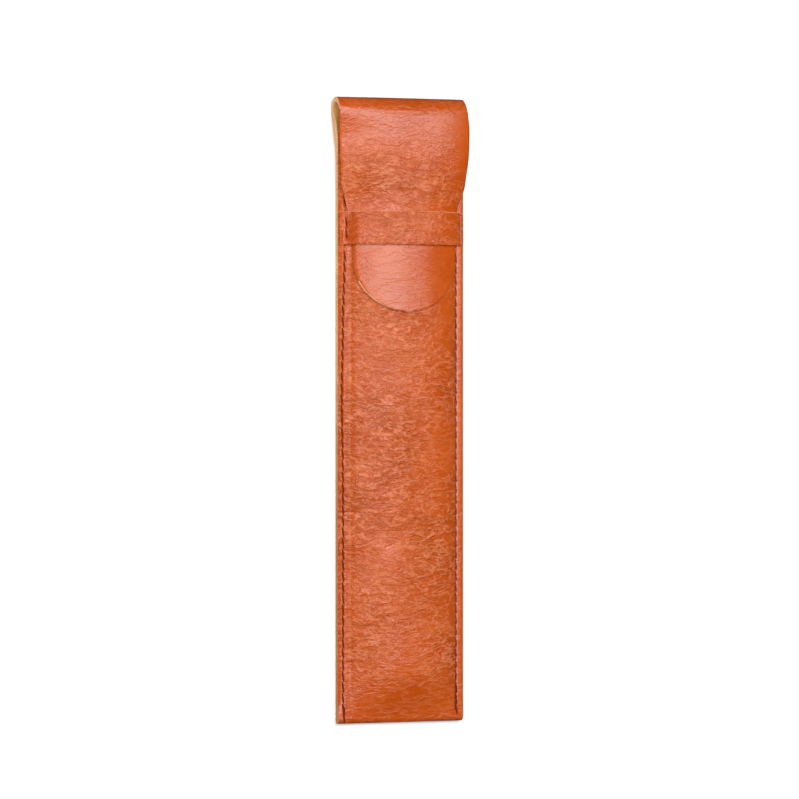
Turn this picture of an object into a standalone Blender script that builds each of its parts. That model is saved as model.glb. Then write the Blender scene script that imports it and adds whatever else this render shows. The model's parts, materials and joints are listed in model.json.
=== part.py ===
"""A single-pen leather case: one long strip of leather folded up into a pocket, its top folded over as a flap
whose round tongue tucks under a keeper strap.

Metres, +Z up. The case lies on its back: +Y runs to the top fold, +X to the right as seen from the front.
The origin is the middle of the back, on the surface that the case lies on.
"""

import math

import bmesh
import bpy

MM = 0.001

# The leather and the outline of the case.
LENGTH = 170.0 * MM
WIDTH = 36.0 * MM
LEATHER = 1.4 * MM
CLEARANCE = 0.3 * MM

# The pocket: the front swells over the pen and is pinched flat at the bottom fold.
SWELL = 4.4 * MM
SHOULDER_SHARE = 0.36
PINCH_LENGTH = 14.0 * MM
MOUTH_DROP = 4.7 * MM

# The flap, measured down its length from the end of the top fold's bend.
FLAP_BASE_LENGTH = 2.9 * MM
FLAP_LINK_LENGTH = 11.4 * MM
SHOULDER_START = 5.7 * MM
SHOULDER_OVERHANG = 0.7 * MM
TONGUE_LENGTH = 27.9 * MM
TONGUE_SIDE_ROOM = 0.95 * MM
TONGUE_TAPER = 0.6 * MM

# The keeper strap, sewn down at both ends in the side seams.
KEEPER_WIDTH = 9.0 * MM
KEEPER_MARGIN = 0.7 * MM

# The side seams.
THREAD_RADIUS = 0.3 * MM
STITCH = 3.0 * MM
STITCH_RISE = 0.1 * MM
THREAD_SINK = 0.1 * MM
BACK_THREAD_LIFT = 0.05 * MM
LEFT_ALLOWANCE = 1.2 * MM
RIGHT_ALLOWANCE = 2.2 * MM
GROOVE_WALL = 0.05 * MM

# How finely the curved shapes are divided.
SHOULDER_COLUMNS = 7
PINCH_ROWS = 7
FOLD_STEPS = 12
TIP_STEPS = 7
TIP_LAST_ANGLE = math.radians(84.0)

# Heights above the surface that the case lies on.
FRONT_Z = LEATHER + CLEARANCE
SEAM_TOP_Z = FRONT_Z + LEATHER
FLAP_Z = SEAM_TOP_Z + SWELL + CLEARANCE
FLAP_TOP_Z = FLAP_Z + LEATHER
KEEPER_LIFT = LEATHER + CLEARANCE

# Places along the length.
HALF_GAP = CLEARANCE / 2
TOP_Y = LENGTH / 2
BOTTOM_Y = -LENGTH / 2
TOP_RADIUS = FLAP_TOP_Z / 2
TOP_FOLD_Y = TOP_Y - TOP_RADIUS
BOTTOM_RADIUS = SEAM_TOP_Z / 2
BOTTOM_FOLD_Y = BOTTOM_Y + BOTTOM_RADIUS
MOUTH_Y = TOP_FOLD_Y - MOUTH_DROP
SWING_Y = TOP_Y - LEATHER / 2
UPPER_HINGE_Y = TOP_FOLD_Y - FLAP_BASE_LENGTH
MIDDLE_HINGE_Y = UPPER_HINGE_Y - FLAP_LINK_LENGTH
TONGUE_HINGE_Y = MIDDLE_HINGE_Y - FLAP_LINK_LENGTH
KEEPER_TOP_Y = TONGUE_HINGE_Y - KEEPER_MARGIN
KEEPER_BOTTOM_Y = KEEPER_TOP_Y - KEEPER_WIDTH

# Places across the width.
HALF_WIDTH = WIDTH / 2
LEFT_SEAM_X = LEFT_ALLOWANCE - HALF_WIDTH
RIGHT_SEAM_X = HALF_WIDTH - RIGHT_ALLOWANCE
GROOVE_HALF = THREAD_RADIUS + CLEARANCE
POCKET_LEFT_X = LEFT_SEAM_X + GROOVE_HALF + GROOVE_WALL
POCKET_RIGHT_X = RIGHT_SEAM_X - GROOVE_HALF - GROOVE_WALL
POCKET_MIDDLE_X = (POCKET_LEFT_X + POCKET_RIGHT_X) / 2
POCKET_HALF = (POCKET_RIGHT_X - POCKET_LEFT_X) / 2
TONGUE_HALF = min(POCKET_RIGHT_X, -POCKET_LEFT_X) - TONGUE_SIDE_ROOM
TIP_RADIUS = TONGUE_HALF - TONGUE_TAPER

# How deep the stitching grooves are cut, so that each thread lies clear of its groove.
FRONT_GROOVE = THREAD_RADIUS + STITCH_RISE + THREAD_SINK + CLEARANCE
BACK_GROOVE = 2 * THREAD_RADIUS + 2 * BACK_THREAD_LIFT + CLEARANCE

ORANGE = (0.56, 0.13, 0.022, 1.0)
DEEP_ORANGE = (0.50, 0.10, 0.012, 1.0)
MAROON = (0.16, 0.012, 0.004, 1.0)


def clear_scene():
    for obj in list(bpy.data.objects):
        bpy.data.objects.remove(obj, do_unlink=True)


def finish(name, colour, roughness):
    """A Principled material: the whole case is leather and thread, so nothing is metallic."""
    material = bpy.data.materials.new(name)
    material.use_nodes = True
    shader = material.node_tree.nodes["Principled BSDF"]
    shader.inputs["Base Color"].default_value = colour
    shader.inputs["Roughness"].default_value = roughness
    shader.inputs["Metallic"].default_value = 0.0
    return material


def pivot(name, place, parent=None):
    """An empty on a joint's axis, under the empty of the body that carries it."""
    empty = bpy.data.objects.new(name, None)
    empty.empty_display_size = 5 * MM
    bpy.context.scene.collection.objects.link(empty)
    empty["place"] = place
    above = parent["place"] if parent else (0.0, 0.0, 0.0)
    empty.parent = parent
    empty.location = [here - there for here, there in zip(place, above)]
    return empty


def add_to_body(obj, material, body):
    """Puts an object, modelled in place, under its body's empty without moving it."""
    bpy.context.scene.collection.objects.link(obj)
    obj.data.materials.append(material)
    obj.parent = body
    obj.location = [-number for number in body["place"]]
    return obj


def smooth_step(share):
    share = min(max(share, 0.0), 1.0)
    return share * share * (3 - 2 * share)


def leather(name, columns, rows, inner, outer, material, body):
    """One closed sheet: a grid placed by inner(column, row), thickened to outer(column, row)."""
    bm = bmesh.new()
    across = len(columns) - 1
    along = len(rows) - 1
    bmesh.ops.create_grid(bm, x_segments=across, y_segments=along, size=1.0)
    thickened = bmesh.ops.extrude_face_region(bm, geom=bm.faces[:], use_keep_orig=True)
    lifted = {item for item in thickened["geom"] if isinstance(item, bmesh.types.BMVert)}
    for vert in bm.verts:
        column = columns[round((vert.co.x + 1) / 2 * across)]
        row = rows[round((vert.co.y + 1) / 2 * along)]
        side = outer if vert in lifted else inner
        vert.co = side(column, row)
    bmesh.ops.recalc_face_normals(bm, faces=bm.faces[:])
    if bm.calc_volume(signed=True) < 0:
        bmesh.ops.reverse_faces(bm, faces=bm.faces[:])
    mesh = bpy.data.meshes.new(name)
    bm.to_mesh(mesh)
    bm.free()
    mesh.shade_smooth()
    mesh.set_sharp_from_angle(angle=math.radians(35))
    return add_to_body(bpy.data.objects.new(name, mesh), material, body)


def swell_share(x):
    """How much of the pocket's swell the front has at x: none at the seams, all of it over the pen."""
    from_seam = 1 - abs(x - POCKET_MIDDLE_X) / POCKET_HALF
    return smooth_step(from_seam / SHOULDER_SHARE)


def fullness(y):
    """How much of the swell is left at y, where the pocket is pinched towards the bottom fold."""
    return smooth_step((y - BOTTOM_FOLD_Y) / PINCH_LENGTH)


def groove(x, depth):
    """The depth of the stitching groove at x, which is nothing away from the two seams."""
    nearest = min(abs(x - LEFT_SEAM_X), abs(x - RIGHT_SEAM_X))
    return depth if nearest < GROOVE_HALF + GROOVE_WALL / 2 else 0.0


def groove_columns(seam_x):
    reach = GROOVE_HALF + GROOVE_WALL
    return [seam_x - reach, seam_x - GROOVE_HALF, seam_x + GROOVE_HALF, seam_x + reach]


def shoulder_columns():
    """The columns over the pocket, close together on its two shoulders."""
    run = POCKET_HALF * SHOULDER_SHARE
    steps = [run * step / SHOULDER_COLUMNS for step in range(1, SHOULDER_COLUMNS + 1)]
    left = [POCKET_LEFT_X + step for step in steps]
    right = [POCKET_RIGHT_X - step for step in reversed(steps)]
    return left + right


def panel_columns():
    seams = groove_columns(LEFT_SEAM_X), groove_columns(RIGHT_SEAM_X)
    return [-HALF_WIDTH] + seams[0] + shoulder_columns() + seams[1] + [HALF_WIDTH]


def front_under(x, y):
    return FRONT_Z + SWELL * swell_share(x) * fullness(y)


def back_panel(material, body):
    columns = [-HALF_WIDTH] + groove_columns(LEFT_SEAM_X) + groove_columns(RIGHT_SEAM_X) + [HALF_WIDTH]
    rows = [BOTTOM_FOLD_Y + HALF_GAP, TOP_FOLD_Y - HALF_GAP]
    return leather(
        "back_panel", columns, rows,
        lambda x, y: (x, y, LEATHER),
        lambda x, y: (x, y, groove(x, BACK_GROOVE)),
        material, body,
    )


def bottom_fold(material, body):
    """Half a ring, from the back panel round to the front panel."""
    angles = [math.pi * step / FOLD_STEPS for step in range(FOLD_STEPS + 1)]
    inside = BOTTOM_RADIUS - LEATHER

    def on_ring(x, angle, radius):
        return (x, BOTTOM_FOLD_Y - radius * math.sin(angle), BOTTOM_RADIUS - radius * math.cos(angle))

    return leather(
        "bottom_fold", [-HALF_WIDTH, HALF_WIDTH], angles,
        lambda x, angle: on_ring(x, angle, inside),
        lambda x, angle: on_ring(x, angle, BOTTOM_RADIUS),
        material, body,
    )


def front_panel(material, body):
    pinch = [
        BOTTOM_FOLD_Y + HALF_GAP + PINCH_LENGTH * step / PINCH_ROWS for step in range(PINCH_ROWS + 1)
    ]
    return leather(
        "front_panel", panel_columns(), pinch + [MOUTH_Y],
        lambda x, y: (x, y, front_under(x, y)),
        lambda x, y: (x, y, front_under(x, y) + LEATHER - groove(x, FRONT_GROOVE)),
        material, body,
    )


def top_fold(material, body):
    """Half a ring, from the back panel over to the flap. It unrolls as the flap opens."""
    angles = [math.pi * step / FOLD_STEPS for step in range(FOLD_STEPS + 1)]
    inside = TOP_RADIUS - LEATHER

    def on_ring(x, angle, radius):
        return (x, TOP_FOLD_Y + radius * math.sin(angle), TOP_RADIUS - radius * math.cos(angle))

    return leather(
        "top_fold", [-HALF_WIDTH, HALF_WIDTH], angles,
        lambda x, angle: on_ring(x, angle, inside),
        lambda x, angle: on_ring(x, angle, TOP_RADIUS),
        material, body,
    )


def flap_section(name, top_y, bottom_y, half_width, extra_rows, material, body):
    """A flat stretch of the flap, with half_width(y) on each side."""
    rows = [top_y] + extra_rows + [bottom_y]
    return leather(
        name, [-1.0, 1.0], rows,
        lambda side, y: (side * half_width(y), y, FLAP_Z),
        lambda side, y: (side * half_width(y), y, FLAP_TOP_Z),
        material, body,
    )


def flap_sections(material, bodies):
    """The three stretches between the top fold and the tongue. The last one narrows to the shoulders."""
    shoulder_y = MIDDLE_HINGE_Y - SHOULDER_START
    narrowing = shoulder_y - TONGUE_HINGE_Y

    def full_width(_y):
        return HALF_WIDTH

    def shoulders(y):
        share = min(max((shoulder_y - y) / narrowing, 0.0), 1.0)
        return HALF_WIDTH + (TONGUE_HALF + SHOULDER_OVERHANG - HALF_WIDTH) * share

    flap_section(
        "flap_base", TOP_FOLD_Y - HALF_GAP, UPPER_HINGE_Y + HALF_GAP, full_width, [], material,
        bodies["flap_base"],
    )
    flap_section(
        "flap_upper", UPPER_HINGE_Y - HALF_GAP, MIDDLE_HINGE_Y + HALF_GAP, full_width, [], material,
        bodies["flap_upper"],
    )
    flap_section(
        "flap_lower", MIDDLE_HINGE_Y - HALF_GAP, TONGUE_HINGE_Y + HALF_GAP, shoulders, [shoulder_y], material,
        bodies["flap_lower"],
    )


def tongue(material, body):
    """The round end, curved across like the front that it lies on."""
    tip_y = TONGUE_HINGE_Y - TONGUE_LENGTH
    round_y = tip_y + TIP_RADIUS
    start_y = TONGUE_HINGE_Y - HALF_GAP
    angles = [TIP_LAST_ANGLE * step / TIP_STEPS for step in range(TIP_STEPS + 1)]
    rows = [(start_y, TONGUE_HALF)]
    rows += [
        (round_y - TIP_RADIUS * math.sin(angle), TIP_RADIUS * math.cos(angle)) for angle in angles
    ]
    half_columns = 9
    columns = [math.sin(math.pi / 2 * step / half_columns) for step in range(-half_columns, half_columns + 1)]

    def lying(side, row, height):
        y, half = row
        x = side * half
        return (x, y, SEAM_TOP_Z + SWELL * swell_share(x) + CLEARANCE + height)

    return leather(
        "tongue", columns, rows,
        lambda side, row: lying(side, row, 0.0),
        lambda side, row: lying(side, row, LEATHER),
        material, body,
    )


def keeper_strap(material, body):
    """The strap across the front: its ends lie on the seam allowances, its middle arches over the tongue."""
    edge = TONGUE_HALF + HALF_GAP

    def over_tongue(x):
        room = POCKET_RIGHT_X if x > 0 else -POCKET_LEFT_X
        return KEEPER_LIFT * smooth_step((room - abs(x)) / (room - edge))

    def under(x, y):
        return (x, y, SEAM_TOP_Z + SWELL * swell_share(x) + CLEARANCE + over_tongue(x))

    def top(x, y):
        return (x, y, under(x, y)[2] + LEATHER - groove(x, FRONT_GROOVE))

    columns = sorted(panel_columns() + [-edge, edge])
    rows = [KEEPER_TOP_Y, KEEPER_BOTTOM_Y]
    return leather("keeper_strap", columns, rows, under, top, material, body)


def thread(name, points, material, body):
    """A tube of thread along the points."""
    curve = bpy.data.curves.new(name, "CURVE")
    curve.dimensions = "3D"
    curve.bevel_depth = THREAD_RADIUS
    curve.bevel_resolution = 0
    curve.use_fill_caps = True
    spline = curve.splines.new("POLY")
    spline.points.add(len(points) - 1)
    for point, place in zip(spline.points, points):
        point.co = (*place, 1.0)
    return add_to_body(bpy.data.objects.new(name, curve), material, body)


def seam_stations(top_y, bottom_y):
    """Where the thread dips into the leather and rises over it, twice for each stitch."""
    count = 2 * round((top_y - bottom_y) / STITCH)
    step = (top_y - bottom_y) / count
    return [(top_y - step * number, number % 2) for number in range(count + 1)]


def front_thread(name, seam_x, material, body):
    """The front thread climbs over the keeper's sewn end."""
    climb = THREAD_RADIUS + CLEARANCE
    climb_ends = KEEPER_TOP_Y + climb, KEEPER_BOTTOM_Y - climb
    surface = SEAM_TOP_Z - THREAD_SINK
    over_keeper = CLEARANCE + LEATHER
    points = []
    for y, rising in seam_stations(MOUTH_Y - STITCH / 4, BOTTOM_FOLD_Y + STITCH / 4):
        on_keeper = climb_ends[1] <= y <= climb_ends[0]
        near_edge = any(abs(y - end) < climb for end in climb_ends)
        if near_edge:
            continue
        wave = STITCH_RISE * (1 if rising else -1)
        points.append((seam_x, y, surface + wave + (over_keeper if on_keeper else 0.0)))
    for end, away in (climb_ends[0], 1), (climb_ends[1], -1):
        points.append((seam_x, end, surface + over_keeper))
        points.append((seam_x, end + away * climb, surface))
    points.sort(key=lambda place: -place[1])
    return thread(name, points, material, body)


def back_thread(name, seam_x, material, body):
    """The back thread lies just inside its groove, clear of the surface that the case lies on."""
    middle_z = THREAD_RADIUS + BACK_THREAD_LIFT
    wave = BACK_THREAD_LIFT / 2
    points = [
        (seam_x, y, middle_z + (wave if rising else -wave))
        for y, rising in seam_stations(MOUTH_Y - STITCH / 4, BOTTOM_FOLD_Y + STITCH / 4)
    ]
    return thread(name, points, material, body)


def build():
    clear_scene()
    grain = finish("tan_leather", ORANGE, 0.38)
    keeper_leather = finish("keeper_leather", DEEP_ORANGE, 0.36)
    sewing = finish("maroon_thread", MAROON, 0.7)

    pouch = pivot("pouch", (0.0, 0.0, 0.0))
    swing = pivot("flap_swing_axis", (0.0, SWING_Y, TOP_RADIUS), pouch)
    upper = pivot("bow_upper_axis", (0.0, UPPER_HINGE_Y, FLAP_TOP_Z), swing)
    middle = pivot("bow_middle_axis", (0.0, MIDDLE_HINGE_Y, FLAP_Z), upper)
    end = pivot("bow_tongue_axis", (0.0, TONGUE_HINGE_Y, FLAP_TOP_Z), middle)

    back_panel(grain, pouch)
    bottom_fold(grain, pouch)
    front_panel(grain, pouch)
    top_fold(grain, pouch)
    flap_sections(grain, {"flap_base": swing, "flap_upper": upper, "flap_lower": middle})
    tongue(grain, end)
    keeper_strap(keeper_leather, pouch)

    for side, seam_x in ("left", LEFT_SEAM_X), ("right", RIGHT_SEAM_X):
        front_thread(f"seam_thread_{side}_front", seam_x, sewing, pouch)
        back_thread(f"seam_thread_{side}_back", seam_x, sewing, pouch)


build()
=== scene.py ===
import json
import math

import bmesh
import bpy
from mathutils import Matrix, Vector, noise


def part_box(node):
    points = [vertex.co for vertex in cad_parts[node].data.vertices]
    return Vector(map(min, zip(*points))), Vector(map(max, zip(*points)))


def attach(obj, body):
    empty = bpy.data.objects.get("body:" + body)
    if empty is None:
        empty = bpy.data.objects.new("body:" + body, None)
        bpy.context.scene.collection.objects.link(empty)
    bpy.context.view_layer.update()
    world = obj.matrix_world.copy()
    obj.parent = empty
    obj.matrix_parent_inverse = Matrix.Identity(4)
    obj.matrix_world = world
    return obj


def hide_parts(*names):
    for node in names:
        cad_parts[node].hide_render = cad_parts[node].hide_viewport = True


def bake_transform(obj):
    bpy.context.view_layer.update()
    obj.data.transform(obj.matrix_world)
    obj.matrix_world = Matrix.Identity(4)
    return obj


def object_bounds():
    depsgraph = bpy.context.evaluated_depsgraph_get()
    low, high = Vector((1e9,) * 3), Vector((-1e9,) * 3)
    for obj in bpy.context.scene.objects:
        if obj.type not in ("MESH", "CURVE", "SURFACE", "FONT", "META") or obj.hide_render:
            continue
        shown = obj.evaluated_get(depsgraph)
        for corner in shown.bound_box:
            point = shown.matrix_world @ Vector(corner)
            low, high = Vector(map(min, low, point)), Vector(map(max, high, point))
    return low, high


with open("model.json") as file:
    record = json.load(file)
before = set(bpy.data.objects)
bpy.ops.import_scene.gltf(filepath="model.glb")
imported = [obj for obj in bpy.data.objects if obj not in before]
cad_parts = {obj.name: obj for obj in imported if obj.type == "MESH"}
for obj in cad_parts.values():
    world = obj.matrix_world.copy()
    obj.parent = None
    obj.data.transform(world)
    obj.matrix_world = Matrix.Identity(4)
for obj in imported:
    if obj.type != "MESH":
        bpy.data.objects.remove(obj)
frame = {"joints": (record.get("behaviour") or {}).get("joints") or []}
cad_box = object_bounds()

# ---------------------------------------------------------------------------------------------
# The studio: the case lies on its back on a pale table, and the camera looks straight down on it
# from a little to its left.
# ---------------------------------------------------------------------------------------------
MM = 0.001
TURN = math.radians(20.0)
CAMERA_DISTANCE = 1.09
AIM = Vector((0.0, 3.0, 1.5)) * MM

camera = bpy.data.objects.new("camera", bpy.data.cameras.new("camera"))
bpy.context.scene.collection.objects.link(camera)
camera.location = AIM + CAMERA_DISTANCE * Vector((-math.sin(TURN), 0.0, math.cos(TURN)))
camera.rotation_euler = (0.0, -TURN, 0.0)
camera.data.lens = 180.0
camera.data.clip_end = 10.0
bpy.context.scene.camera = camera
bpy.context.scene.view_settings.view_transform = "Standard"


def softbox(name, place, size, power):
    """A rectangular white light that faces the case."""
    lamp = bpy.data.lights.new(name, "AREA")
    lamp.shape = "RECTANGLE"
    lamp.size, lamp.size_y = size
    lamp.energy = power
    light = bpy.data.objects.new(name, lamp)
    light.location = place
    light.rotation_euler = (-Vector(place)).to_track_quat("-Z", "Y").to_euler()
    bpy.context.scene.collection.objects.link(light)
    return light


# The key is what the leather mirrors where it lies flat; the other two only fill in the shade.
softbox("key", (-0.035, 0.15, 0.78), (0.86, 0.37), 5.5)
fill = softbox("fill", (-0.15, 0.08, 0.85), (0.7, 0.5), 4.1)
side = softbox("side", (-0.85, 0.15, 0.42), (0.5, 0.9), 1.8)
fill.visible_glossy = False
side.visible_glossy = False

world = bpy.data.worlds.new("studio")
world.use_nodes = True
room = world.node_tree.nodes["Background"]
room.inputs["Color"].default_value = (1.0, 1.0, 1.0, 1.0)
room.inputs["Strength"].default_value = 0.10
world.cycles_visibility.glossy = False
bpy.context.scene.world = world

TABLE_SIZE = 3.0
TABLE_GAP = 0.1 * MM
bm = bmesh.new()
bmesh.ops.create_grid(bm, x_segments=1, y_segments=1, size=TABLE_SIZE)
bmesh.ops.translate(bm, verts=bm.verts[:], vec=(0.0, 0.0, cad_box[0][2] - TABLE_GAP))
table_mesh = bpy.data.meshes.new("table")
bm.to_mesh(table_mesh)
bm.free()
table = bpy.data.objects.new("table", table_mesh)
bpy.context.scene.collection.objects.link(table)
table.visible_glossy = False

# ---------------------------------------------------------------------------------------------
# The front of the pocket: the lower half of the long leather strip, folded up at the bottom and
# sewn to the back along both sides. It swells over the pen's place and is pinched at the fold.
# Cut from crinkled, glossy pull-up leather, with raw edges and the flesh side turned in.
# ---------------------------------------------------------------------------------------------


class Wire:
    """A shader socket that Python expressions can use: each operator adds its Math node."""

    def __init__(self, tree, socket=None):
        self.tree = tree
        self.socket = socket

    def add(self, kind, settings=None, values=None, output=0):
        """Adds any node: first its settings, then the values or wires of its sockets."""
        node = self.tree.nodes.new(kind)
        for name, setting in (settings or {}).items():
            setattr(node, name, setting)
        for name, value in (values or {}).items():
            if isinstance(value, Wire):
                self.tree.links.new(value.socket, node.inputs[name])
            else:
                node.inputs[name].default_value = value
        return Wire(self.tree, node.outputs[output])

    def math(self, operation, *others):
        values = dict(enumerate((self, *others)))
        return self.add("ShaderNodeMath", {"operation": operation}, values)

    def __add__(self, other):
        return self.math("ADD", other)

    __radd__ = __add__

    def __mul__(self, other):
        return self.math("MULTIPLY", other)

    __rmul__ = __mul__

    def __sub__(self, other):
        return self.math("SUBTRACT", other)

    def __rsub__(self, other):
        return (self * -1.0) + other

    def __abs__(self):
        return self.math("ABSOLUTE")

    def limited(self):
        return self.add("ShaderNodeClamp", values={"Value": self})

    def between(self, low, high):
        """0 below low, 1 above high, and a smooth rise between them."""
        settings = {"interpolation_type": "SMOOTHSTEP"}
        values = {"Value": self, "From Min": low, "From Max": high}
        return self.add("ShaderNodeMapRange", settings, values)

    def tint(self, dark, light):
        """The colour between dark and light, each a colour or a wire."""
        mixer = self.tree.nodes.new("ShaderNodeMix")
        mixer.data_type = "RGBA"
        self.tree.links.new(self.socket, mixer.inputs["Factor"])
        for socket, colour in (mixer.inputs[6], dark), (mixer.inputs[7], light):
            if isinstance(colour, Wire):
                self.tree.links.new(colour.socket, socket)
            else:
                socket.default_value = (*colour, 1.0)
        return Wire(self.tree, mixer.outputs[2])


def new_finish(name):
    """An empty Principled material: its wire for adding nodes, and its shader."""
    material = bpy.data.materials.new(name)
    material.use_nodes = True
    return material, Wire(material.node_tree), material.node_tree.nodes["Principled BSDF"]


def feed(shader, **wires):
    """Links wires to the shader's sockets, whose spaces are written as underscores."""
    for name, wire in wires.items():
        wire.tree.links.new(wire.socket, shader.inputs[name.replace("_", " ")])


def cloudy(wire, place, scale, detail, output=0):
    """A noise: output 0 is a value and 1 a colour."""
    values = {"Vector": place, "Scale": scale, "Detail": detail}
    return wire.add("ShaderNodeTexNoise", values=values, output=output)


def warped(wire, place, reach, scale):
    """The place pushed about by a slow noise, so that lines drawn on it wander."""
    vector_math = "ShaderNodeVectorMath"
    push = cloudy(wire, place, scale, 2.0, output=1)
    push = wire.add(vector_math, {"operation": "SUBTRACT"}, {0: push, 1: (0.5, 0.5, 0.5)})
    push = wire.add(vector_math, {"operation": "SCALE"}, {0: push, "Scale": reach})
    return wire.add(vector_math, {"operation": "ADD"}, {0: place, 1: push})


def ridges(wire, place, scale, sharpness, detail):
    """Thin branching lines where a noise crosses its middle value."""
    return (1.0 - abs(cloudy(wire, place, scale, detail) - 0.5) * sharpness).limited()


def bump(wire, height, strength, depth):
    """The normal of a surface whose relief is depth deep, in millimetres."""
    values = {"Height": height, "Strength": strength, "Distance": depth * MM}
    return wire.add("ShaderNodeBump", values=values)


RUBBED_FROM, RUBBED_BY, RUBBED = 1.2, 2.0, 2.2
BARE_LEATHER = (0.80, 0.42, 0.19)


def grain_leather(name, deep, bright, highlight_colour, roughness):
    """The glossy side: an orange with a painted highlight that pales it on every crest, most where
    the leather is crinkled.

    Each point has a crush, how crinkled the leather is there, and a crest, how far up a crease it
    lies. A crest above RUBBED_FROM marks a rim that is rubbed down to bare leather.
    """
    material, wire, shader = new_finish(name)
    place = wire.add("ShaderNodeTexCoord", output=3)
    crush = wire.add("ShaderNodeAttribute", {"attribute_name": "crush"}, output=2)
    crest = wire.add("ShaderNodeAttribute", {"attribute_name": "crest"}, output=2)

    bent = warped(wire, place, 4.0 * MM, 110.0)
    across = wire.add("ShaderNodeMapping", values={"Vector": bent, "Scale": (0.36, 1.0, 0.8)})
    turn = (0.0, 0.0, math.radians(35))
    slanting = wire.add(
        "ShaderNodeMapping", values={"Vector": bent, "Rotation": turn, "Scale": (0.35, 1.2, 1.0)}
    )
    folds = ridges(wire, across, 560.0, 11.0, 4.0)
    wrinkles = ridges(wire, across, 1250.0, 8.0, 3.0)
    slants = ridges(wire, slanting, 330.0, 22.0, 3.0)
    pores = cloudy(wire, place, 3600.0, 2.0)
    patches = cloudy(wire, place, 95.0, 3.0)
    blotches = cloudy(wire, place, 420.0, 3.0)

    lines = folds * 0.75 + wrinkles * 0.5
    height = lines * crush + slants * (crush * 0.6 + 0.045) + pores * 0.05 + blotches * 0.08
    # Painted highlight: the crests of the creases are tinted paler for the light they catch. Patches
    # and blotches are the leather's own uneven tone.
    crest_highlight_share = (lines - 0.35) * crush * 0.3 + crest * 0.15
    tone_and_crest_highlight = crest_highlight_share + (patches - 0.5) * 0.9 + (blotches - 0.5) * 0.4 + 0.4
    body = tone_and_crest_highlight.limited().tint(deep, bright)
    with_painted_highlight = ((lines - 0.4) * crush).limited().tint(body, highlight_colour)
    rubbed = (crest.between(RUBBED_FROM, RUBBED_BY) * (blotches * 1.6 + 0.1)).limited()
    feed(
        shader, Base_Color=rubbed.tint(with_painted_highlight, BARE_LEATHER), Normal=bump(wire, height, 1.0, 0.28),
        Roughness=((patches - 0.5) * 0.16 + crush * 0.06 + roughness).limited(),
    )
    shader.inputs["Specular IOR Level"].default_value = 0.5
    shader.inputs["Coat Weight"].default_value = 0.15
    shader.inputs["Coat Roughness"].default_value = 0.2
    return material


EDGE_DARKER_BELOW, EDGE_LIGHTER_ABOVE = -40.0, 35.0


def raw_leather(name, dark, light, scale, roughness, bottom_darkening=0.0):
    """The cut edge and the flesh side: bare fibres, matt. The edge is made darker further down."""
    material, wire, shader = new_finish(name)
    place = wire.add("ShaderNodeTexCoord", output=3)
    fibres = cloudy(wire, place, scale, 4.0)
    stains = cloudy(wire, place, 160.0, 2.0)
    place_y = wire.add("ShaderNodeSeparateXYZ", values={"Vector": place}, output=1)
    # The cut edge is made darker towards the bottom of the case.
    top_lightness = place_y.between(EDGE_DARKER_BELOW * MM, EDGE_LIGHTER_ABOVE * MM) * bottom_darkening + (1.0 - bottom_darkening)
    tone = ((fibres * 0.9 + stains * 0.7 - 0.3) * (top_lightness * 0.75 + 0.25)).limited()
    feed(
        shader, Base_Color=tone.tint(dark, light), Normal=bump(wire, fibres, 0.7, 0.12),
        Roughness=(fibres * 0.2 + roughness).limited(),
    )
    return material


LEATHER_FINISHES = (
    grain_leather(
        # The third colour is the painted highlight on the crests.
        "body_grain", (0.40, 0.048, 0.002), (0.55, 0.100, 0.006), (0.74, 0.23, 0.11), 0.26
    ),
    raw_leather("cut_edge", (0.46, 0.14, 0.035), (1.0, 0.66, 0.34), 2600.0, 0.7, bottom_darkening=1.0),
    raw_leather("flesh_side", (0.50, 0.22, 0.06), (0.80, 0.43, 0.15), 1500.0, 0.85),
)
GRAIN, EDGE, FLESH = range(3)


def corners(node):
    """A CAD node's lowest and highest corners. Places and sizes are in millimetres from here on."""
    return [Vector(corner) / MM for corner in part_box(node)]


def middle_x(node):
    low, high = corners(node)
    return (low.x + high.x) / 2


back_low, back_high = corners("back_panel")
front_high = corners("front_panel")[1]
HALF_WIDTH = back_high.x
BOTTOM_FOLD_Y = back_low.y - 0.15
BOTTOM_RADIUS = corners("bottom_fold")[1].z / 2
MOUTH_Y = front_high.y
SEAM_TOP = 2 * BOTTOM_RADIUS
SWELL = front_high.z - SEAM_TOP
LEFT_SEAM = middle_x("seam_thread_left_front")
RIGHT_SEAM = middle_x("seam_thread_right_front")
LEATHER = 1.45
STITCH = 3.0
PINCH = 15.0
SEAM_SINK = 0.22
HOLE_SINK = 0.12
CHANNEL = 0.42


def smooth(share):
    """A smooth rise from 0 to 1 as share goes from 0 to 1."""
    share = min(max(share, 0.0), 1.0)
    return share * share * (3 - 2 * share)


def arch(x, left, right, roundness):
    """A share of full height: a gentle rise at the left, a flat top, a steep fall at the right."""
    if x < 0:
        return math.sin(min(max(1 - x / left, 0.0), 1.0) * math.pi / 2)
    return max(1 - min(x / right, 1.0) ** roundness, 0.0) ** (1 / roundness)


RIGHT_FOOT = RIGHT_SEAM - 0.15
LEFT_FOOT = LEFT_SEAM + 1.3


def swell(x, y, room=0.0):
    """How far the front stands up from the seam. Room widens it at the right, for the flap."""
    along = min(max((y - BOTTOM_FOLD_Y) / PINCH, 0.0), 1.0)
    rise = arch(x, LEFT_SEAM + 1.5, RIGHT_FOOT + room, 2.4)
    eased = 1.0 if room else smooth((RIGHT_FOOT - x) / 0.4) * smooth((x - LEFT_FOOT) / 1.6)
    return SWELL * rise * eased * math.sin(along * math.pi / 2) ** 1.2


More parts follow.
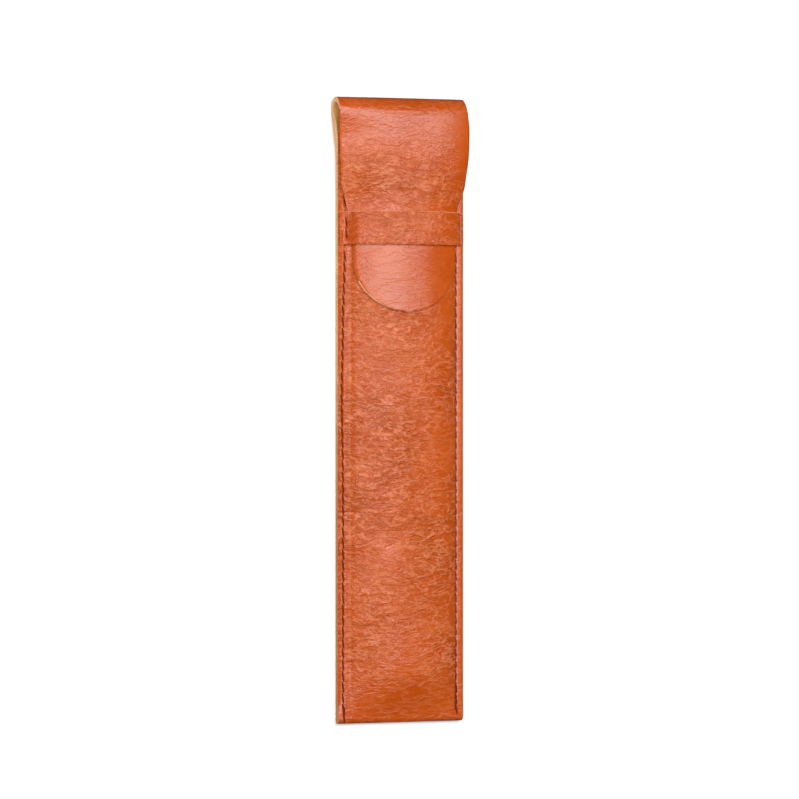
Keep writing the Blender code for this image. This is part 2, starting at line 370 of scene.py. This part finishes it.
def wrinkle(x, y, spacing, seed):
    """Raised lines that wander across the leather a spacing apart: 0 between them, 1 on a crest."""
    drift = noise.noise_vector(Vector((x / 7.0, y / 7.0, seed)))
    wander = Vector(((x + 3.0 * drift.x) / (2.4 * spacing), (y + 2.0 * drift.y) / spacing, seed))
    return max(1 - 3.2 * abs(noise.noise(wander)), 0.0)


def crumple(x, y, crush):
    """The height of the leather's creases at (x, y), and how far up a crest that is."""
    broad = wrinkle(x, y, 3.4, 1.7)
    small = wrinkle(x, y, 1.9, 8.3)
    sway = noise.noise(Vector((x / 9.0, y / 14.0, 4.4)))
    height = crush * (0.08 * broad + 0.06 * small) + 0.10 * sway
    return height, crush * max(broad, small)


def seam_drift(y):
    """How far the left seam wanders from its straight line: in near the keeper, out below it."""
    return 0.5 * smooth((y - 24.0) / 20) - 0.3 * math.exp(-((y - 3.0) / 14) ** 2)


def seam_dip(x, y):
    """How far the stitches pull the leather down: a shallow channel, deeper at each hole."""
    hole = math.sin(math.pi * y / STITCH) ** 8
    dip = 0.0
    for seam in LEFT_SEAM + seam_drift(y), RIGHT_SEAM:
        dip += math.exp(-((x - seam) / CHANNEL) ** 2) * (SEAM_SINK + HOLE_SINK * hole)
    return dip


def spread(start, end, step):
    """Numbers from start to end, about a step apart."""
    count = max(round(abs(end - start) / step), 1)
    return [start + (end - start) * number / count for number in range(count + 1)]


SHARP_ANGLE = math.radians(50)


def leather_sheet(name, columns, rows, place, thickness=LEATHER, spare=(0, 0)):
    """A sheet of leather: place(column, row) is a point of its glossy side, its crush and crest.

    The flesh side lies a thickness behind it. Spare rows at either end only shape the shading at a
    border where the sheet runs on in another piece.
    """
    bm = bmesh.new()
    across, along = len(columns) - 1, len(rows) - 1
    bmesh.ops.create_grid(bm, x_segments=across, y_segments=along, size=1.0)
    crush_layer = bm.verts.layers.float.new("crush")
    crest_layer = bm.verts.layers.float.new("crest")
    facing = bm.verts.layers.float_vector.new("facing")
    beyond = []
    for vert in bm.verts:
        column = round((vert.co.x + 1) / 2 * across)
        row = round((vert.co.y + 1) / 2 * along)
        if row < spare[0] or row > along - spare[1]:
            beyond.append(vert)
        point, vert[crush_layer], vert[crest_layer] = place(columns[column], rows[row])
        vert.co = Vector(point) * MM
    bm.normal_update()
    for vert in bm.verts:
        vert[facing] = vert.normal
    bmesh.ops.delete(bm, geom=beyond, context="VERTS")
    thickened = bmesh.ops.extrude_face_region(bm, geom=bm.faces[:], use_keep_orig=True)
    behind = {item for item in thickened["geom"] if isinstance(item, bmesh.types.BMVert)}
    for vert in behind:
        vert.co -= vert[facing] * thickness * MM
    for face in bm.faces:
        inside = sum(vert in behind for vert in face.verts)
        face.material_index = GRAIN if not inside else FLESH if inside == len(face.verts) else EDGE
        face.smooth = True
    bmesh.ops.recalc_face_normals(bm, faces=bm.faces[:])
    if bm.calc_volume(signed=True) < 0:
        bmesh.ops.reverse_faces(bm, faces=bm.faces[:])
    mesh = bpy.data.meshes.new(name)
    bm.to_mesh(mesh)
    bm.free()
    mesh.set_sharp_from_angle(angle=SHARP_ANGLE)
    shading = [(0.0, 0.0, 0.0)] * len(mesh.loops)
    wanted = mesh.attributes["facing"].data
    for polygon in mesh.polygons:
        if polygon.material_index == GRAIN:
            for loop in polygon.loop_indices:
                shading[loop] = wanted[mesh.loops[loop].vertex_index].vector
    mesh.normals_split_custom_set(shading)
    mesh.attributes.remove(mesh.attributes["facing"])
    for finish in LEATHER_FINISHES:
        mesh.materials.append(finish)
    piece = bpy.data.objects.new(name, mesh)
    bpy.context.scene.collection.objects.link(piece)
    return piece


def front_crush(x, y):
    """The body is crinkled all over, less in some patches, at the bottom and past the right seam."""
    if x > RIGHT_SEAM:
        return 0.12
    patch = 0.62 + 0.75 * noise.noise(Vector((x / 13.0, y / 19.0, 2.2)))
    return min(max(patch, 0.15), 1.0) * (0.35 + 0.65 * smooth((y - BOTTOM_FOLD_Y - 4) / 12))


def edge_round(x, left_reach, left_drop, right_reach, right_drop):
    """The leather is pared away towards its two cut edges."""
    left = max(1 - (x + HALF_WIDTH) / left_reach, 0.0) ** 1.3 * left_drop
    right = max(1 - (HALF_WIDTH - x) / right_reach, 0.0) ** 2 * right_drop
    return left + right


def rubbed_rim(distance):
    """The crest that marks a narrow rim along a cut edge, rubbed through to bare leather."""
    return RUBBED if distance < 0.18 else 0.0


def front_place(x, row):
    """row is (angle round the bottom fold, None) or (None, y up the front)."""
    angle, y = row
    if y is None:
        y = BOTTOM_FOLD_Y - BOTTOM_RADIUS * math.sin(angle)
        return (x, y, BOTTOM_RADIUS - BOTTOM_RADIUS * math.cos(angle)), 0.3, 0.1
    crush = front_crush(x, y)
    height, crest = crumple(x, y, crush)
    settle = smooth((y - BOTTOM_FOLD_Y) / 6)
    inside = smooth(min(x - LEFT_SEAM, RIGHT_SEAM - x) / 1.5 + 0.5)
    z = SEAM_TOP + swell(x, y) + height * settle * (0.3 + 0.7 * inside)
    z -= seam_dip(x, y) * settle + edge_round(x, 1.3, 1.0, 0.8, 0.15) * settle
    return (x, y, z), crush, max(crest * settle, rubbed_rim(MOUTH_Y - y))


# The columns lie closer at the seams, where the leather dips.
front_columns = spread(-HALF_WIDTH, -15.4, 0.2) + spread(-15.0, 14.2, 0.4)
front_columns += spread(14.4, HALF_WIDTH, 0.2)
front_rows = [(angle, None) for angle in spread(0.0, math.pi, math.pi / 8)]
front_rows += [(None, y) for y in spread(BOTTOM_FOLD_Y, MOUTH_Y, 0.45)[1:]]
front = leather_sheet("front", front_columns, front_rows, front_place)
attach(front, "pouch")
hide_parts("front_panel", "bottom_fold")

# ---------------------------------------------------------------------------------------------
# The back and the crown: the same strip runs up the back and rolls over the top as an open loop,
# never stitched, and it is this bend that works as the flap's hinge.
# ---------------------------------------------------------------------------------------------
crown_high = corners("top_fold")[1]
CROWN_TOP = crown_high.z
TOP_Y = crown_high.y
CROWN_Y = TOP_Y - CROWN_TOP / 2
TIP_Y = corners("tongue")[0].y
TIP_RADIUS = 13.6
ROUND_FROM_Y = TIP_Y + TIP_RADIUS
FLAP_LIE = LEATHER + 0.1
# Each side of the flap as cut: how far down from the top, and how wide from the middle line there.
LEFT_SIDE = (
    (0, 19.2), (4.5, 19.2), (14, 18.6), (23, 18.1), (25, 17.8), (28.5, 16.6), (30.5, 16.2),
    (33, 15.9), (40, 14.5),
)
RIGHT_SIDE = (
    (0, 16.9), (2.5, 17.0), (9, 18.1), (16, 18.0), (20, 17.6), (24.8, 17.1), (27.6, 15.7),
    (29.2, 15.1), (31, 14.8), (40, 14.2),
)
SIDE_EASE = 1.3
# How high each side's edge hangs at the crown, 8 mm down from it and 20 mm down from it.
LEFT_EDGE_Z = 7.1, 5.7, 4.9
RIGHT_EDGE_Z = 7.1, 6.6, 4.8
# The flap hangs free above the first line and lies on the front below the second.
HANGS_ABOVE_Y, LIES_BELOW_Y = 66.0, 55.0


def flap_half(x, y):
    """Half the flap's width on x's side: full at the crown, then a shoulder and a round tongue."""
    points = RIGHT_SIDE if x > 0 else LEFT_SIDE
    down = TOP_Y - y
    tongue_half = points[-1][1]
    if y < ROUND_FROM_Y:
        share = min((ROUND_FROM_Y - y) / TIP_RADIUS, 1.0)
        return tongue_half * math.sqrt(max(1 - share * share, 0.0))
    eased = 0.0
    for place in down - SIDE_EASE, down, down + SIDE_EASE:
        place = min(max(place, 0.0), points[-1][0])
        for (start, wide), (stop, narrow) in zip(points, points[1:]):
            if start <= place <= stop:
                eased += (wide + (narrow - wide) * (place - start) / (stop - start)) / 3
                break
    return eased


def flap_top(x, y):
    """The height of the flap's glossy side: an arch that settles onto the front below."""
    down = CROWN_Y - y
    high, middling, low = LEFT_EDGE_Z if x < 0 else RIGHT_EDGE_Z
    edge = high + (middling - high) * smooth(down / 8.0)
    edge += (low - middling) * smooth((down - 8.0) / 12.0)
    middle = CROWN_TOP - 0.15 * smooth(down / 22.0)
    rounded = 4.2 - 1.8 * smooth(down / 22.0)
    hung = edge + (middle - edge) * arch(x, -19.3, 18.4, rounded)
    room = 0.35 + 2.4 * smooth((y - 53.5) / 9.0)
    lying = SEAM_TOP + swell(x, y, room) + FLAP_LIE
    settled = smooth((HANGS_ABOVE_Y - y) / (HANGS_ABOVE_Y - LIES_BELOW_Y))
    return hung + (lying - hung) * settled


def crown_radius(x):
    return flap_top(x, CROWN_Y) / 2


def flap_crush(x, y):
    """Smooth by the crown and on the tongue, heavily crinkled above the keeper."""
    left_patch = math.exp(-(((x + 8.0) / 13.0) ** 2) - ((y - 63.0) / 8.0) ** 2)
    right_patch = 0.45 * math.exp(-(((x - 9.0) / 9.0) ** 2) - ((y - 60.0) / 7.0) ** 2)
    return min(0.07 + left_patch + right_patch, 1.0)


def crimp(x, past_crown):
    """Short gathers across the crown, where the fold was pressed: strongest at its turn."""
    gathers = noise.noise(Vector((x / 0.9, past_crown / 6.0, 3.3)))
    gathers += 0.6 * noise.noise(Vector((x / 2.1, 0.0, 9.1)))
    return 0.06 * gathers * math.exp(-((past_crown + 2.4) / 1.4) ** 2)


def crown_shift(x, y):
    """The strip reaches less far at its edges, where the loop over the top is tighter."""
    return (TOP_Y - crown_radius(x) - CROWN_Y) * smooth((y - (CROWN_Y - 10.0)) / 10.0)


def back_place(share, y):
    wider = smooth((y - CROWN_Y + 12.0) / 12.0)
    x = share * (HALF_WIDTH + (flap_half(share, TOP_Y) - HALF_WIDTH) * wider)
    crush = front_crush(x, y + 40.0) * 0.7
    crest = crumple(x, y + 40.0, crush)[1]
    hollow = (edge_round(x, 0.8, 0.25, 0.8, 0.25) + seam_dip(x, y)) * smooth((CROWN_Y - y) / 4)
    return (x, y + crown_shift(x, y), hollow), crush, crest


def crown_place(share, angle):
    over = angle > math.pi / 2
    cut_y = TOP_Y - (TOP_Y - CROWN_Y) * (1 - math.sin(angle)) if over else TOP_Y
    x = share * flap_half(share, cut_y)
    radius = crown_radius(x)
    reach = radius * math.sin(angle)
    gathered = radius + (crimp(x, -reach) if over else 0.0)
    return (x, TOP_Y - radius + reach, radius - gathered * math.cos(angle)), 0.2, 0.0


def flap_place(share, y):
    half = flap_half(share, y)
    x = share * half
    rim = half - abs(x)
    crush = flap_crush(x, y)
    height, crest = crumple(x, y + 7.0, crush)
    height = height * smooth((CROWN_Y + 1 - y) / 5.0) + crimp(x, CROWN_Y - y)
    height -= 0.16 * max(1 - rim / 0.7, 0.0) ** 2
    rubbed = x < 6.0 and y < TIP_Y + TIP_RADIUS * 0.6
    if rubbed:
        rim = min(rim, 14.25 - math.hypot(x, (ROUND_FROM_Y - y) * 1.04))
        crest = max(crest, rubbed_rim(rim))
    return (x, y + crown_shift(x, y), flap_top(x, y) + height), crush, crest


def strip_place(column, row):
    """row is ("back", y), ("crown", angle) or ("flap", y); a column follows the strip's width."""
    part, number = row
    places = {"back": back_place, "crown": crown_place, "flap": flap_place}
    return places[part](column / HALF_WIDTH, number)


flap_columns = spread(HALF_WIDTH, -HALF_WIDTH, 0.3)
round_crown = [("crown", angle) for angle in spread(0.0, math.pi, math.pi / 30)]
back_rows = [("back", y) for y in spread(BOTTOM_FOLD_Y, CROWN_Y, 0.6)]
back = leather_sheet(
    "back", flap_columns, back_rows + round_crown[1:2], strip_place, spare=(0, 1)
)
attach(back, "pouch")
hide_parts("back_panel")

CROWN_BORDER = CROWN_Y - 1.0
CROWN_STEP = 0.25
past_crown = spread(CROWN_Y, CROWN_BORDER, CROWN_STEP)[1:] + [CROWN_BORDER - CROWN_STEP]
crown_rows = back_rows[-2:-1] + round_crown + [("flap", y) for y in past_crown]
crown = leather_sheet("crown", flap_columns, crown_rows, strip_place, spare=(1, 1))
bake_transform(crown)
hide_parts("top_fold")

# ---------------------------------------------------------------------------------------------
# The flap: the end of the strip, draped over the mouth. It bows up in the middle to draw its round
# tongue out of the keeper, so it is made in three lengths that meet where the leather stays
# straight.
# ---------------------------------------------------------------------------------------------
hinges = {joint["name"]: joint["pos_m"][1] / MM for joint in frame["joints"]}
UPPER_HINGE_Y, MIDDLE_HINGE_Y, TONGUE_HINGE_Y = (
    hinges[name] for name in ("bow_upper", "bow_middle", "bow_tongue")
)
UPPER_BORDER = (UPPER_HINGE_Y + MIDDLE_HINGE_Y) / 2 + 0.8
LOWER_BORDER = (MIDDLE_HINGE_Y + TONGUE_HINGE_Y) / 2 - 0.8
ROW = 0.3


def flap_length(name, start_y, end_y, bend, reach, replaced, tip=False):
    """One length of the flap, from start_y down to end_y."""
    ys = spread(start_y, end_y, ROW)
    step = (start_y - end_y) / (len(ys) - 1)
    after = [] if tip else [end_y - step]
    rows = [("flap", y) for y in [start_y + step] + ys + after]
    piece = leather_sheet(name, flap_columns, rows, strip_place, spare=(1, len(after)))
    (bend + reach) * MM
    (bend - reach) * MM
    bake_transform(piece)
    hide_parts(*replaced)


flap_length(
    "flap_top", CROWN_BORDER, UPPER_BORDER, UPPER_HINGE_Y, 1.9,
    ("flap_base",),
)
flap_length(
    "flap_middle", UPPER_BORDER, LOWER_BORDER, MIDDLE_HINGE_Y, 4.8,
    ("flap_upper", "flap_lower"),
)
flap_length(
    "flap_tongue", LOWER_BORDER, TIP_Y + 0.02, TONGUE_HINGE_Y, 2.8,
    ("tongue",), tip=True,
)

# ---------------------------------------------------------------------------------------------
# The keeper: a strap of the same leather laid across the front over the tongue. Each end is caught
# in a side seam and trimmed flush with the case's edge.
# ---------------------------------------------------------------------------------------------
KEEPER_LOW, KEEPER_HIGH = corners("keeper_strap")
KEEPER_THICK = 1.35
PRESSED_THIN = 0.5


def keeper_place(x, y):
    """The keeper climbs over the flap's edges; its right end is pressed thin against the front."""
    crush = min(max(0.5 + 0.5 * noise.noise(Vector((x / 8.0, y / 8.0, 6.1))), 0.2), 1.0)
    height, crest = crumple(x, y + 31.0, crush)
    rim = min(KEEPER_HIGH.y - y, y - KEEPER_LOW.y)
    over = (FLAP_LIE + 0.3) * smooth((x + 16.2) / 2.2) * smooth((15.9 - x) / 0.9)
    thick = KEEPER_THICK - PRESSED_THIN * smooth((x - RIGHT_SEAM + 0.3) / 0.8)
    z = SEAM_TOP + swell(x, y, 0.35) + thick + over + height * 0.8
    z -= 0.14 * max(1 - rim / 0.6, 0.0) ** 2
    z -= edge_round(x, 1.4, 0.75, 0.8, 0.25) + seam_dip(x, y)
    trimmed = x - 0.25 * smooth((x - 16.0) / 2)
    return (trimmed, y, z), crush, max(crest, rubbed_rim(KEEPER_HIGH.y - y))


keeper_columns = spread(-HALF_WIDTH, -14.0, 0.2) + spread(-13.7, 13.4, 0.3)
keeper_columns += spread(13.6, HALF_WIDTH, 0.2)
keeper_rows = spread(KEEPER_LOW.y, KEEPER_HIGH.y, 0.25)
keeper = leather_sheet(
    "keeper", keeper_columns, keeper_rows, keeper_place, thickness=KEEPER_THICK
)
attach(keeper, "pouch")
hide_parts("keeper_strap")

# ---------------------------------------------------------------------------------------------
# The seams: a lockstitch down each side in dark maroon thread, 3 mm a stitch, sewn through the
# keeper's ends and doubled back on itself at the bottom.
# ---------------------------------------------------------------------------------------------
thread_finish, wire, shader = new_finish("maroon_thread")
shader.inputs["Specular IOR Level"].default_value = 0.12
place = wire.add("ShaderNodeTexCoord", output=3)
turned = wire.add("ShaderNodeMapping", values={"Vector": place, "Rotation": (0.0, 0.0, 0.7)})
twist = wire.add("ShaderNodeTexWave", {"bands_direction": "Y"}, {"Vector": turned, "Scale": 900.0})
fuzz = cloudy(wire, place, 3500.0, 3.0)
plies = (twist * 0.5 + fuzz * 0.5).limited()
feed(
    shader, Base_Color=plies.tint((0.09, 0.007, 0.002), (0.25, 0.026, 0.007)),
    Normal=bump(wire, twist + fuzz * 0.4, 0.8, 0.08), Roughness=fuzz * 0.2 + 0.55,
)
HALF_STITCH = Matrix.Diagonal((0.27, 0.25, 1.6, 1.0))
TACK_ASIDE = 0.22
LEAN = math.radians(7.0)
SLOPE_STEP = 0.7


def stitch_run(name, seam_x, surface, bottom_y, lean, replaced, backtack=()):
    """Stitches end to end: each is a grain of thread from one hole to the next."""
    bm = bmesh.new()
    first = math.ceil(bottom_y / STITCH + 0.5)
    last = math.floor(MOUTH_Y / STITCH - 0.5)
    places = [(number * STITCH, 0.0) for number in range(first, last + 1)]
    places += [(y, TACK_ASIDE) for y in backtack]
    to_metres = Matrix.Scale(MM, 4)
    lay = Matrix.Rotation(math.radians(90), 4, "X")
    turn = Matrix.Rotation(lean, 4, "Z")
    for y, aside in places:
        x = seam_x + aside + (seam_drift(y) if seam_x < 0 else 0.0)
        slope = (surface(x, y + SLOPE_STEP) - surface(x, y - SLOPE_STEP)) / (2 * SLOPE_STEP)
        tilt = Matrix.Rotation(math.atan(slope), 4, "X")
        spot = Matrix.Translation((x, y, surface(x, y)))
        made = bmesh.ops.create_uvsphere(bm, u_segments=8, v_segments=6, radius=1.0)
        put = to_metres @ spot @ turn @ tilt @ lay @ HALF_STITCH
        bmesh.ops.transform(bm, verts=made["verts"], matrix=put)
    for face in bm.faces:
        face.smooth = True
    mesh = bpy.data.meshes.new(name)
    bm.to_mesh(mesh)
    bm.free()
    mesh.materials.append(thread_finish)
    run = bpy.data.objects.new(name, mesh)
    bpy.context.scene.collection.objects.link(run)
    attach(run, "pouch")
    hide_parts(replaced)


def front_surface(x, y):
    """Where a front stitch lies: on the front's seam, or on the keeper's sewn end."""
    on_keeper = KEEPER_LOW.y < y < KEEPER_HIGH.y
    lies_on = keeper_place(x, y) if on_keeper else front_place(x, (None, y))
    return lies_on[0][2] + 0.06


def back_surface(x, y):
    """The back stitches lie level, sunk in their channel, so that the case rests on its leather."""
    return 0.23


for seam, seam_x, end_y, tacks in (
    ("left", LEFT_SEAM, -84.9, (-81.0, -83.1)),
    ("right", RIGHT_SEAM, -83.4, (-76.0, -79.0, -81.7)),
):
    stitch_run(
        f"stitches_{seam}_front", seam_x, front_surface, end_y, LEAN, f"seam_thread_{seam}_front",
        tacks,
    )
    stitch_run(
        f"stitches_{seam}_back", seam_x, back_surface, end_y, -LEAN, f"seam_thread_{seam}_back"
    )

# ---------------------------------------------------------------------------------------------
# The table's finish.
# ---------------------------------------------------------------------------------------------
table_finish, wire, shader = new_finish("pale_table")
shader.inputs["Base Color"].default_value = (0.88, 0.88, 0.88, 1.0)
shader.inputs["Roughness"].default_value = 0.8
shader.inputs["Emission Color"].default_value = (1.0, 1.0, 1.0, 1.0)
shader.inputs["Emission Strength"].default_value = 0.08
table_mesh.materials.append(table_finish)
